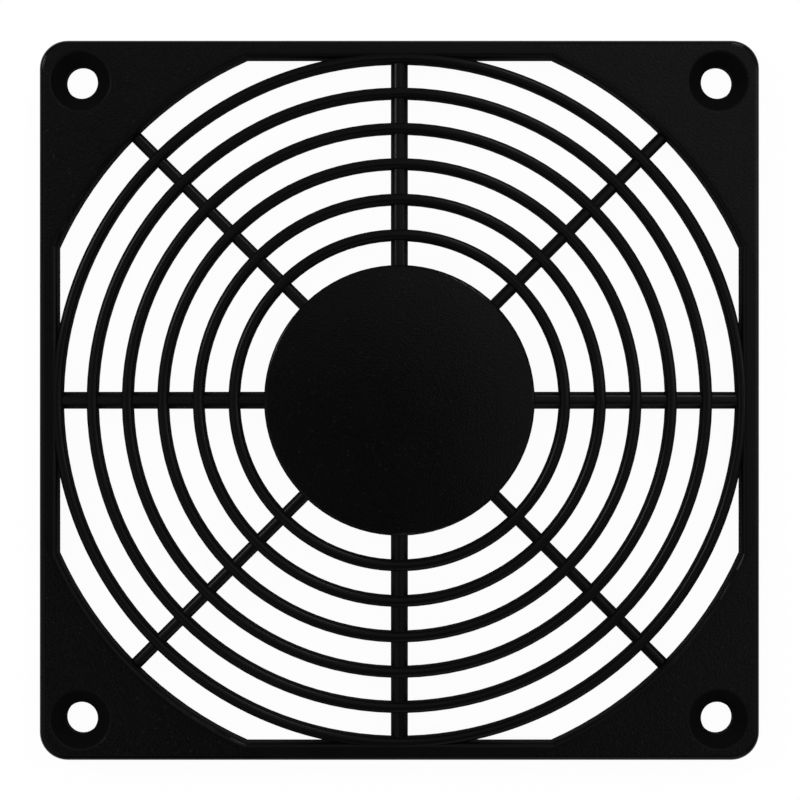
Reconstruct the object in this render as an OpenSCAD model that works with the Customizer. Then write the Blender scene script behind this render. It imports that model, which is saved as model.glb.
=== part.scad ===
// Domed finger guard for a 120 mm axial fan, moulded in one piece.
// It lies on its flat back: z = 0 is the back of the frame, and the front faces +Z.
// The origin is on the fan's axis.

/* [Frame] */
// Side of the square frame
frame_side = 118.5; // [112:0.5:130]
// Thickness of the frame, from its flat back to its front face
frame_depth = 4.5; // [4:0.1:8]
// Radius of the frame's outer corners, seen from the front
corner_radius = 4.6; // [3:0.1:8]
// Radius of the rounded front edge round the outside
edge_radius = 0.9; // [0.3:0.1:1.2]
// Width of the straight bars at the middle of each side
bar_width = 2.9; // [2.4:0.1:5]
// Radius of the rounded front edge round the opening
opening_edge_radius = 0.8; // [0.2:0.1:1]

/* [Screw holes] */
// Distance from the frame's sides to the hole centres
hole_inset = 6.75; // [6:0.05:8]
// Diameter of the holes
hole_diameter = 5.3; // [3.5:0.1:6]
// Diameter of the countersinks at the front face
countersink_diameter = 9.8; // [7:0.1:11]
// Included angle of the countersinks
countersink_angle = 90; // [80:1:120]
// Radius of the rounded rim of the countersinks
rim_radius = 0.6; // [0.3:0.1:1]

/* [Rings] */
// Number of rings between the hub and the bars
ring_count = 6; // [4:1:8]
// Width of each ring
ring_width = 1.88; // [1.4:0.02:2.4]
// Depth of each ring, from its crest to its flat back
ring_depth = 2.4; // [1.6:0.1:3.2]
// Height of the outermost ring's crest above the frame's front face
ring_proud = 0.2; // [0.1:0.05:0.5]
// Gap between the outermost ring and the corner webs
corner_gap = 4.45; // [3:0.05:6]
// Rise of the dome, from the outermost ring's crest to the middle of the hub
dome_rise = 4.3; // [2.5:0.1:6]

/* [Spokes] */
// Width of the four spokes that run to the bars
spoke_width = 2.8; // [2:0.05:4]
// Width of the four diagonal spokes that run to the corner webs
diagonal_width = 2.05; // [1.4:0.05:3]
// Depth of the spokes, from crest to back
spoke_depth = 2.2; // [2:0.1:2.6]
// Distance of the spokes' crests behind the rings' crests
spoke_setback = 0.6; // [0.3:0.1:1]

/* [Hub] */
// Diameter of the hub
hub_diameter = 44.2; // [30:0.1:60]
// Depth of the hub at its rim, from its front to its flat back
hub_depth = 3.2; // [3:0.1:5]
// Radius of the rounded rim at the hub's front
hub_edge_radius = 0.5; // [0.2:0.05:0.8]

/* [Hidden] */

// Facets per full turn: of the rings and hub, of the small rounded sections, and of the wide dome.
$fn = 180;
section_fn = 40;
dome_fn = 1440;

// How far a cutter reaches past the face that it cuts
past = 1;

half_side = frame_side / 2;
opening_half = half_side - bar_width;
hole_offset = half_side - hole_inset;
hub_radius = hub_diameter / 2;

// The outermost ring's centre line lies on the bars' inner walls.
outer_ring_radius = opening_half;
opening_radius = outer_ring_radius + ring_width / 2 + corner_gap;

// Rings are spread so that the gaps between them, and to the hub, are equal.
ring_gap = (outer_ring_radius - hub_radius - (ring_count - 0.5) * ring_width) / ring_count;
ring_pitch = ring_width + ring_gap;

// All crests lie on one sphere, centred on the axis far behind the part.
outer_crest_z = frame_depth + ring_proud;
dome_radius = (pow(outer_ring_radius, 2) + pow(dome_rise, 2)) / (2 * dome_rise);
dome_centre_z = outer_crest_z + dome_rise - dome_radius;
function dome_z(distance, radius = dome_radius) = dome_centre_z + sqrt(pow(radius, 2) - pow(distance, 2));

// Spokes are rooted in the hub and in the frame.
spoke_radius = dome_radius - spoke_setback;
hub_root = hub_radius - spoke_width;
bar_root = opening_half + bar_width / 2;
web_root = opening_radius + diagonal_width;

// Section of a ring or spoke: a half-round crest, its top at the origin, on straight sides.
module rib_section(width, depth) {
    translate([0, -width / 2]) circle(d = width, $fn = section_fn);
    translate([-width / 2, -depth]) square([width, depth - width / 2]);
}

// Section of the frame's outer edge, from the corner's axis out to the side.
module edge_section() {
    flat = corner_radius - edge_radius;
    wall = frame_depth - edge_radius;
    square([flat, frame_depth]);
    square([corner_radius, wall]);
    translate([flat, wall]) circle(r = edge_radius, $fn = section_fn);
}

// Frame's plate before it is opened: a core, four sides and four corners that share one edge section.
module plate() {
    core = frame_side - 2 * corner_radius;
    translate([-core / 2, -core / 2, 0]) cube([core, core, frame_depth]);
    for (turn = [0:90:270]) rotate(turn) translate([core / 2, core / 2, 0]) {
        rotate([90, 0, 0]) linear_extrude(core) edge_section();
        rotate_extrude(angle = 90) edge_section();
    }
}

// Half section of the opening: a straight wall that flares out round the front edge.
module opening_section(half) {
    flare = opening_edge_radius;
    translate([0, -past]) square([half, frame_depth + 2 * past]);
    difference() {
        translate([0, frame_depth - flare]) square([half + flare, flare + past]);
        translate([half + flare, frame_depth - flare]) circle(r = flare, $fn = section_fn);
    }
}

// Slot across the frame, as wide as the opening between two facing bars.
module opening_slot() {
    rotate([90, 0, 0]) linear_extrude(frame_side, center = true) {
        opening_section(opening_half);
        mirror([1, 0]) opening_section(opening_half);
    }
}

// Square opening with its corners cut round, which leaves the corner webs.
module opening() {
    intersection() {
        rotate_extrude() opening_section(opening_radius);
        opening_slot();
        rotate(90) opening_slot();
    }
}

// Half section of a screw hole: a straight bore, a cone, and an arc that leads from the cone to the face.
module screw_hole_section() {
    half_angle = countersink_angle / 2;
    bore = hole_diameter / 2;
    mouth = countersink_diameter / 2;
    top = frame_depth + past;
    cone_depth = (mouth - bore) / tan(half_angle);
    rim_run = rim_radius * tan((90 - half_angle) / 2);
    cone_end = [mouth - rim_run * sin(half_angle), frame_depth - rim_run * cos(half_angle)];
    translate([0, -past]) square([bore, frame_depth + 2 * past]);
    polygon([
        [0, frame_depth - cone_depth],
        [bore, frame_depth - cone_depth],
        cone_end,
        [cone_end[0], top],
        [0, top]
    ]);
    difference() {
        polygon([cone_end, [mouth + rim_run, frame_depth], [mouth + rim_run, top], [cone_end[0], top]]);
        translate([mouth + rim_run, frame_depth - rim_radius]) circle(r = rim_radius, $fn = section_fn);
    }
}

module screw_hole() {
    rotate_extrude() screw_hole_section();
}

module frame() {
    difference() {
        plate();
        opening();
        for (x = [-1, 1], y = [-1, 1]) translate([x * hole_offset, y * hole_offset, 0]) screw_hole();
    }
}

module rings() {
    for (i = [0:ring_count - 1]) {
        r = outer_ring_radius - i * ring_pitch;
        translate([0, 0, dome_z(r)]) rotate_extrude() translate([r, 0]) rib_section(ring_width, ring_depth);
    }
}

// Spoke swept along the dome towards +X, between two distances from the axis.
module spoke(width, from, to) {
    start = acos(to / spoke_radius);
    sweep = acos(from / spoke_radius) - start;
    translate([0, 0, dome_centre_z]) rotate([90, 0, 0]) rotate(start)
        rotate_extrude(angle = sweep, $fn = dome_fn)
            translate([spoke_radius, 0]) rotate(-90) rib_section(width, spoke_depth);
}

module spokes() {
    for (turn = [0:90:270]) {
        rotate(turn) spoke(spoke_width, hub_root, bar_root);
        rotate(turn + 45) spoke(diagonal_width, hub_root, web_root);
    }
}

// Half section of the hub: the dome's arc, running into a small arc at the rim, on a flat back.
module hub_section() {
    inner_radius = dome_radius - hub_edge_radius;
    rim_x = hub_radius - hub_edge_radius;
    rim_z = dome_z(rim_x, inner_radius);
    back_z = dome_z(hub_radius) - hub_depth;
    reach = 1.01 * dome_radius / inner_radius;
    intersection() {
        translate([0, dome_centre_z]) circle(r = dome_radius, $fn = dome_fn);
        polygon([
            [0, back_z],
            [rim_x * (back_z - dome_centre_z) / (rim_z - dome_centre_z), back_z],
            [rim_x * reach, dome_centre_z + (rim_z - dome_centre_z) * reach],
            [0, dome_centre_z + (rim_z - dome_centre_z) * reach]
        ]);
    }
    translate([rim_x, rim_z]) circle(r = hub_edge_radius, $fn = section_fn);
    translate([0, back_z]) square([hub_radius, rim_z - back_z]);
}

module hub() {
    rotate_extrude() hub_section();
}

module fan_grille() {
    color([0.06, 0.06, 0.065]) {
        frame();
        rings();
        spokes();
        hub();
    }
}

fan_grille();
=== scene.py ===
import functools
import math

import bmesh
import bpy
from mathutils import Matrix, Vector


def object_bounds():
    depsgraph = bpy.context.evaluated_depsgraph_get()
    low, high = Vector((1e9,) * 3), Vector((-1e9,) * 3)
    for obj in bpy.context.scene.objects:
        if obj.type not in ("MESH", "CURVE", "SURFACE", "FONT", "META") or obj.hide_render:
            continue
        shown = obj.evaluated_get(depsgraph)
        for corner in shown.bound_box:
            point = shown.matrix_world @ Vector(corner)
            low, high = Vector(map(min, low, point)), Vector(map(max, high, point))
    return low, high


MM = 0.001
MICRON = 0.000001

# Measures of the part that the camera, the floor and the plastic refer to
FACE_Z = 4.5 * MM
HALF_SIDE = 59.25 * MM
BAR_MIDDLE = 57.8 * MM
WEB_RADIUS = 61.7 * MM
HUB_RADIUS = 22.05 * MM
DOME_RADIUS = 371.4 * MM
HOLE_OFFSET = 52.5 * MM
CONE_RADIUS = 4.72 * MM
RIM_RADIUS = 5.15 * MM

# Depth of the hub's front, and how far the plastic's other zones reach or fade past those measures
HUB_FRONT_DEPTH = 1 * MM
WEB_FADE = 2 * MM
OPENING_EDGE = 1.3 * MM
RIM_FADE = 0.3 * MM

# How squarely a surface faces front or back, from 0 to 1: where flat faces begin, and where walls fade out
FLAT_FACING = (0.985, 0.996)
WALL_FACING = (0.25, 0.80)

# Patterns in the plastic: scale per metre and detail of each noise, and the range of each pattern that shows
RIPPLE_NOISE = (1300.0, 1.0)
FINE_NOISE = (3400.0, 2.0)
MOTTLE_NOISE = (160.0, 4.0)
NOISE_ROUGHNESS = 0.55
RIPPLE_MIDDLE = 0.5
RIPPLE_BAND = 0.10
FINE_RANGE = (0.48, 0.80)
MOTTLE_RANGE = (0.25, 0.75)
SPECK_SCALE = 1900.0
SPECK_RANGE = (0.82, 1.0)
SPECK_SIZE = 0.38

# Colour: the dark plastic, and how far each pattern takes it towards the light one; the specks' share is a
# painted glint of tiny facets
DARK = (0.0017, 0.0017, 0.0018, 1)
LIGHT = (0.0105, 0.0105, 0.0110, 1)
RIPPLE_SHADE = 0.08
FINE_SHADE = 0.30
MOTTLE_SHADE = 0.06
PAINTED_GLINT_SHADE = 0.35

# Roughness of the ribs, the flat faces, their edges and the countersinks' rims, and how much it varies
RIB_ROUGHNESS = 0.28
FLAT_ROUGHNESS = 0.17
EDGE_ROUGHNESS = 0.14
RIM_ROUGHNESS = 0.38
MOTTLE_ROUGHNESS = 0.006

# How strongly the plastic mirrors
PLASTIC_IOR = 1.5
SPECULAR_LEVEL = 0.08

# Relief of each pattern in microns, the hub's share of the grain, and the ribs' share of the relief
RIPPLE_RELIEF = 7.0
FINE_RELIEF = 45.0
SPECK_RELIEF = 10.0
HUB_GRAIN = 0.55
RIB_RELIEF = 0.08

# Floor that turns up all round into a backdrop
FLOOR_GAP = 0.05 * MM
FLOOR_RADIUS = 2.40
SWEEP_RADIUS = 0.62
FLOOR_SEGMENTS = 96
SWEEP_STEPS = 12

# White of the floor: its own colour, the glow that shows, and what reflections see of that under the part
FLOOR_COLOUR = (0.9, 0.9, 0.9, 1)
WHITE = (1, 1, 1, 1)
GLOW = 1.02
GLOW_SHARE = 0.94
SHADED_SHARE = 0.25
SHADE_INNER = HALF_SIDE - 3 * MM
SHADE_OUTER = HALF_SIDE + 12 * MM

# Softboxes: name, degrees from +X and from straight up, side in metres, watts
LAMPS = [
    ("right_lamp", 8, 59, 0.22, 0.60),
    ("top_lamp", 67, 63, 0.22, 1.43),
    ("left_lamp", 155, 57, 0.22, 1.98),
    ("right_fill", 10, 33, 0.85, 1.70),
    ("top_fill", 93, 33, 0.85, 1.25),
    ("left_fill", 208, 42, 0.85, 1.39),
    ("low_fill", 290, 66, 0.55, 0.80),
]
LAMP_DISTANCE = 0.85
ROOM_LIGHT = 0.10

# The photograph looks straight down: the camera's place over the frame's face, and the picture's width there
CAMERA_HEIGHT = 430 * MM
CAMERA_X = 0.1 * MM
CAMERA_Y = 0.05 * MM
PICTURE_WIDTH = 131.57 * MM
SENSOR_WIDTH = 36.0
CLIP_START = 0.01
CLIP_END = 10.0

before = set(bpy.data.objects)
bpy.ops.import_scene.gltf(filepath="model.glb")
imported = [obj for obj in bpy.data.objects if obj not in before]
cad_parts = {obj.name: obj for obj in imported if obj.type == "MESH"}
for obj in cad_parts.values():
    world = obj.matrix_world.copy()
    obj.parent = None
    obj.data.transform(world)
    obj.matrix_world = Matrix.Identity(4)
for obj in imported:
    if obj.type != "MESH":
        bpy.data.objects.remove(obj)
cad_low, cad_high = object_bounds()
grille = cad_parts["fan_grille"]


class Nodes:
    """Adds and links the nodes of one material or world."""

    def __init__(self, tree):
        self.tree = tree
        tree.nodes.clear()

    def add(self, kind, inputs=None, **settings):
        """Adds a node; an input is a value, or another node's output to link."""
        node = self.tree.nodes.new(kind)
        for name, value in settings.items():
            setattr(node, name, value)
        for key, value in (inputs or {}).items():
            if isinstance(value, bpy.types.NodeSocket):
                self.tree.links.new(value, node.inputs[key])
            else:
                node.inputs[key].default_value = value
        return node

    def math(self, operation, a, b=0.0):
        return self.add("ShaderNodeMath", {0: a, 1: b}, operation=operation).outputs[0]

    def total(self, *terms):
        return functools.reduce(functools.partial(self.math, "ADD"), terms)

    def product(self, *factors):
        return functools.reduce(functools.partial(self.math, "MULTIPLY"), factors)

    def largest(self, *values):
        return functools.reduce(functools.partial(self.math, "MAXIMUM"), values)

    def distance(self, a, b):
        return self.math("SQRT", self.total(self.product(a, a), self.product(b, b)))

    def vector(self, operation, *vectors):
        return self.add("ShaderNodeVectorMath", dict(enumerate(vectors)), operation=operation).outputs[0]

    def split(self, vector):
        return self.add("ShaderNodeSeparateXYZ", {0: vector}).outputs

    def mix(self, kind, factor, a, b):
        """Blend of two colours or vectors."""
        inputs = {"Factor": factor, "A": a, "B": b}
        return self.add("ShaderNodeMix", inputs, data_type=kind).outputs["Result"]

    def ramp(self, value, low, high, to_low=0.0, to_high=1.0):
        """Smooth step of a value from one range to another."""
        inputs = {"Value": value, "From Min": low, "From Max": high, "To Min": to_low, "To Max": to_high}
        return self.add("ShaderNodeMapRange", inputs, interpolation_type="SMOOTHSTEP").outputs[0]

    def noise(self, place, scale, detail):
        inputs = {"Vector": place, "Scale": scale, "Detail": detail, "Roughness": NOISE_ROUGHNESS}
        return self.add("ShaderNodeTexNoise", inputs).outputs["Fac"]


def new_material(name):
    material = bpy.data.materials.new(name)
    material.use_nodes = True
    return material, Nodes(material.node_tree)


def zones(nodes, place):
    """Masks of the hub's disc, the corner webs, the countersinks, their cones and the frame's opening."""
    x, y, _ = nodes.split(place)
    across = [nodes.math("ABSOLUTE", axis) for axis in (x, y)]
    radius = nodes.distance(*across)
    hub = nodes.math("LESS_THAN", radius, HUB_RADIUS)
    webs = nodes.ramp(radius, WEB_RADIUS, WEB_RADIUS + WEB_FADE)
    from_hole = nodes.distance(*[nodes.math("SUBTRACT", axis, HOLE_OFFSET) for axis in across])
    sinks = nodes.ramp(from_hole, RIM_RADIUS - RIM_FADE, RIM_RADIUS + RIM_FADE, 1.0, 0.0)
    cones = nodes.ramp(from_hole, CONE_RADIUS, RIM_RADIUS, 1.0, 0.0)
    between_bars = nodes.math("LESS_THAN", nodes.largest(*across), BAR_MIDDLE)
    between_webs = nodes.math("LESS_THAN", radius, WEB_RADIUS + OPENING_EDGE)
    opening = nodes.product(between_bars, between_webs)
    return hub, webs, sinks, cones, opening


def patterns(nodes, place):
    """Ripples, fine grain, broad mottling and scattered dots of the moulded plastic; the dots are real
    relief, and in the colour a painted glint.
    """
    ripple = nodes.noise(place, *RIPPLE_NOISE)
    from_middle = nodes.math("ABSOLUTE", nodes.math("SUBTRACT", ripple, RIPPLE_MIDDLE))
    ripples = nodes.ramp(from_middle, 0.0, RIPPLE_BAND, 1.0, 0.0)
    fine = nodes.noise(place, *FINE_NOISE)
    mottle = nodes.noise(place, *MOTTLE_NOISE)
    inputs = {"Vector": place, "Scale": SPECK_SCALE, "Randomness": 1.0}
    cells = nodes.add("ShaderNodeTexVoronoi", inputs).outputs
    chosen = nodes.add("ShaderNodeSeparateColor", {0: cells["Color"]}).outputs[0]
    size = nodes.ramp(chosen, *SPECK_RANGE, 0.0, SPECK_SIZE)
    dots = nodes.math("LESS_THAN", cells["Distance"], size)
    return ripples, fine, mottle, dots


def smooth_normal(nodes, place, hub):
    """Normal of the surface before its relief.

    On the hub's front it is worked out from the dome's centre, because the mesh is coarse there.
    """
    dome_centre = (0.0, 0.0, cad_high.z - DOME_RADIUS)
    dome = nodes.vector("NORMALIZE", nodes.vector("SUBTRACT", place, dome_centre))
    own = nodes.add("ShaderNodeNewGeometry").outputs["Normal"]
    in_front = nodes.math("GREATER_THAN", nodes.split(place)["Z"], cad_high.z - HUB_FRONT_DEPTH)
    return nodes.mix("VECTOR", nodes.product(hub, in_front), own, dome)


def black_plastic():
    """Black moulded plastic: grained hub and webs, smooth ribs and edges, dull walls and countersinks."""
    material, nodes = new_material("black_plastic")
    coords = nodes.add("ShaderNodeTexCoord").outputs
    place = coords["Object"]
    facing = nodes.math("ABSOLUTE", nodes.split(coords["Normal"])["Z"])
    hub, webs, sinks, cones, opening = zones(nodes, place)
    level = nodes.ramp(facing, *FLAT_FACING)
    faces = nodes.total(hub, webs)
    flat = nodes.product(level, faces)
    edges = nodes.product(faces, nodes.math("SUBTRACT", 1.0, level))
    walls = nodes.product(nodes.ramp(facing, *WALL_FACING, 1.0, 0.0), opening)
    grained = nodes.product(level, nodes.total(nodes.product(hub, HUB_GRAIN), webs))
    ripples, fine, mottle, dots = patterns(nodes, place)
    specks = nodes.product(dots, flat)

    grain = nodes.total(nodes.product(ripples, RIPPLE_SHADE), nodes.ramp(fine, *FINE_RANGE, 0.0, FINE_SHADE))
    # The specks' lighter colour is a painted glint of tiny facets, added to their real relief in the bump
    # below.
    shade = nodes.total(
        nodes.ramp(mottle, *MOTTLE_RANGE, 0.0, MOTTLE_SHADE),
        nodes.product(grain, grained),
        nodes.product(specks, PAINTED_GLINT_SHADE),
    )

    # Walls and cones are masks as well as roughnesses: 1 is fully dull.
    gloss = nodes.total(
        RIB_ROUGHNESS,
        nodes.product(flat, FLAT_ROUGHNESS - RIB_ROUGHNESS),
        nodes.product(edges, EDGE_ROUGHNESS - RIB_ROUGHNESS),
        nodes.ramp(mottle, *MOTTLE_RANGE, -MOTTLE_ROUGHNESS, MOTTLE_ROUGHNESS),
    )
    roughness = nodes.largest(gloss, nodes.product(sinks, RIM_ROUGHNESS), walls, cones)

    relief = nodes.total(
        nodes.product(ripples, RIPPLE_RELIEF),
        nodes.product(fine, FINE_RELIEF),
        nodes.product(specks, SPECK_RELIEF),
    )
    height = nodes.product(relief, nodes.ramp(grained, 0.0, 1.0, RIB_RELIEF, 1.0))
    normal = smooth_normal(nodes, place, nodes.product(hub, level))
    inputs = {"Strength": 1.0, "Distance": MICRON, "Height": height, "Normal": normal}
    bump = nodes.add("ShaderNodeBump", inputs)

    shader = nodes.add("ShaderNodeBsdfPrincipled", {
        "Base Color": nodes.mix("RGBA", shade, DARK, LIGHT),
        "Roughness": roughness,
        "Normal": bump.outputs[0],
        "IOR": PLASTIC_IOR,
        "Specular IOR Level": SPECULAR_LEVEL,
    })
    nodes.add("ShaderNodeOutputMaterial", {"Surface": shader.outputs[0]})
    return material


def white_floor():
    """White table that keeps the part's shadow.

    In reflections it is white all round, but under the part it stays in shade.
    """
    material, nodes = new_material("white_floor")
    path = nodes.add("ShaderNodeLightPath").outputs
    x, y, _ = nodes.split(nodes.add("ShaderNodeTexCoord").outputs["Object"])
    reach = nodes.largest(*[nodes.math("ABSOLUTE", axis) for axis in (x, y)])
    clear = nodes.ramp(reach, SHADE_INNER, SHADE_OUTER, SHADED_SHARE, 1.0)
    mirrored = nodes.largest(path["Is Glossy Ray"], path["Is Transmission Ray"])
    seen = nodes.largest(path["Is Camera Ray"], nodes.product(mirrored, clear))
    lit = nodes.add("ShaderNodeBsdfDiffuse", {"Color": FLOOR_COLOUR})
    glow = nodes.add("ShaderNodeEmission", {"Color": WHITE, "Strength": GLOW})
    shares = {0: nodes.product(seen, GLOW_SHARE), 1: lit.outputs[0], 2: glow.outputs[0]}
    mixed = nodes.add("ShaderNodeMixShader", shares)
    nodes.add("ShaderNodeOutputMaterial", {"Surface": mixed.outputs[0]})
    return material


def make_floor():
    """Round floor that turns up into a low backdrop on all sides."""
    turns = [math.pi / 2 * i / SWEEP_STEPS for i in range(SWEEP_STEPS + 1)]
    profile = [(FLOOR_RADIUS + SWEEP_RADIUS * math.sin(t), SWEEP_RADIUS * (1 - math.cos(t))) for t in turns]
    angles = [2 * math.pi * i / FLOOR_SEGMENTS for i in range(FLOOR_SEGMENTS)]
    mesh = bmesh.new()
    rows = []
    for radius, height in profile:
        rows.append([mesh.verts.new((radius * math.cos(a), radius * math.sin(a), height)) for a in angles])
    mesh.faces.new(rows[0])
    for lower, upper in zip(rows, rows[1:]):
        for i in range(FLOOR_SEGMENTS):
            j = (i + 1) % FLOOR_SEGMENTS
            mesh.faces.new((lower[i], upper[i], upper[j], lower[j])).smooth = True
    bmesh.ops.recalc_face_normals(mesh, faces=mesh.faces)
    data = bpy.data.meshes.new("floor")
    mesh.to_mesh(data)
    mesh.free()
    data.materials.append(white_floor())
    floor = bpy.data.objects.new("floor", data)
    floor.location.z = cad_low.z - FLOOR_GAP
    bpy.context.scene.collection.objects.link(floor)


def make_world():
    """Dim even room above the backdrop."""
    world = bpy.data.worlds.new("studio")
    bpy.context.scene.world = world
    world.use_nodes = True
    nodes = Nodes(world.node_tree)
    room = nodes.add("ShaderNodeBackground", {"Color": WHITE, "Strength": ROOM_LIGHT})
    nodes.add("ShaderNodeOutputWorld", {"Surface": room.outputs[0]})


def softbox(name, azimuth, zenith, size, watts):
    """Square area lamp that faces the origin, hidden from the camera."""
    turn = math.radians(azimuth)
    tilt = math.radians(zenith)
    towards = Vector((math.sin(tilt) * math.cos(turn), math.sin(tilt) * math.sin(turn), math.cos(tilt)))
    data = bpy.data.lights.new(name, "AREA")
    data.shape = "SQUARE"
    data.size = size
    data.energy = watts
    lamp = bpy.data.objects.new(name, data)
    lamp.location = towards * LAMP_DISTANCE
    lamp.rotation_mode = "QUATERNION"
    lamp.rotation_quaternion = (-towards).to_track_quat("-Z", "Y")
    lamp.visible_camera = False
    bpy.context.scene.collection.objects.link(lamp)


def make_camera():
    """Camera above the part, looking straight down."""
    data = bpy.data.cameras.new("camera")
    data.sensor_width = SENSOR_WIDTH
    data.lens = SENSOR_WIDTH * CAMERA_HEIGHT / PICTURE_WIDTH
    data.clip_start = CLIP_START
    data.clip_end = CLIP_END
    camera = bpy.data.objects.new("camera", data)
    camera.location = (CAMERA_X, CAMERA_Y, FACE_Z + CAMERA_HEIGHT)
    bpy.context.scene.collection.objects.link(camera)
    bpy.context.scene.camera = camera


grille.data.materials.clear()
grille.data.materials.append(black_plastic())
make_floor()
make_world()
for lamp_settings in LAMPS:
    softbox(*lamp_settings)
make_camera()
bpy.context.scene.view_settings.view_transform = "Standard"
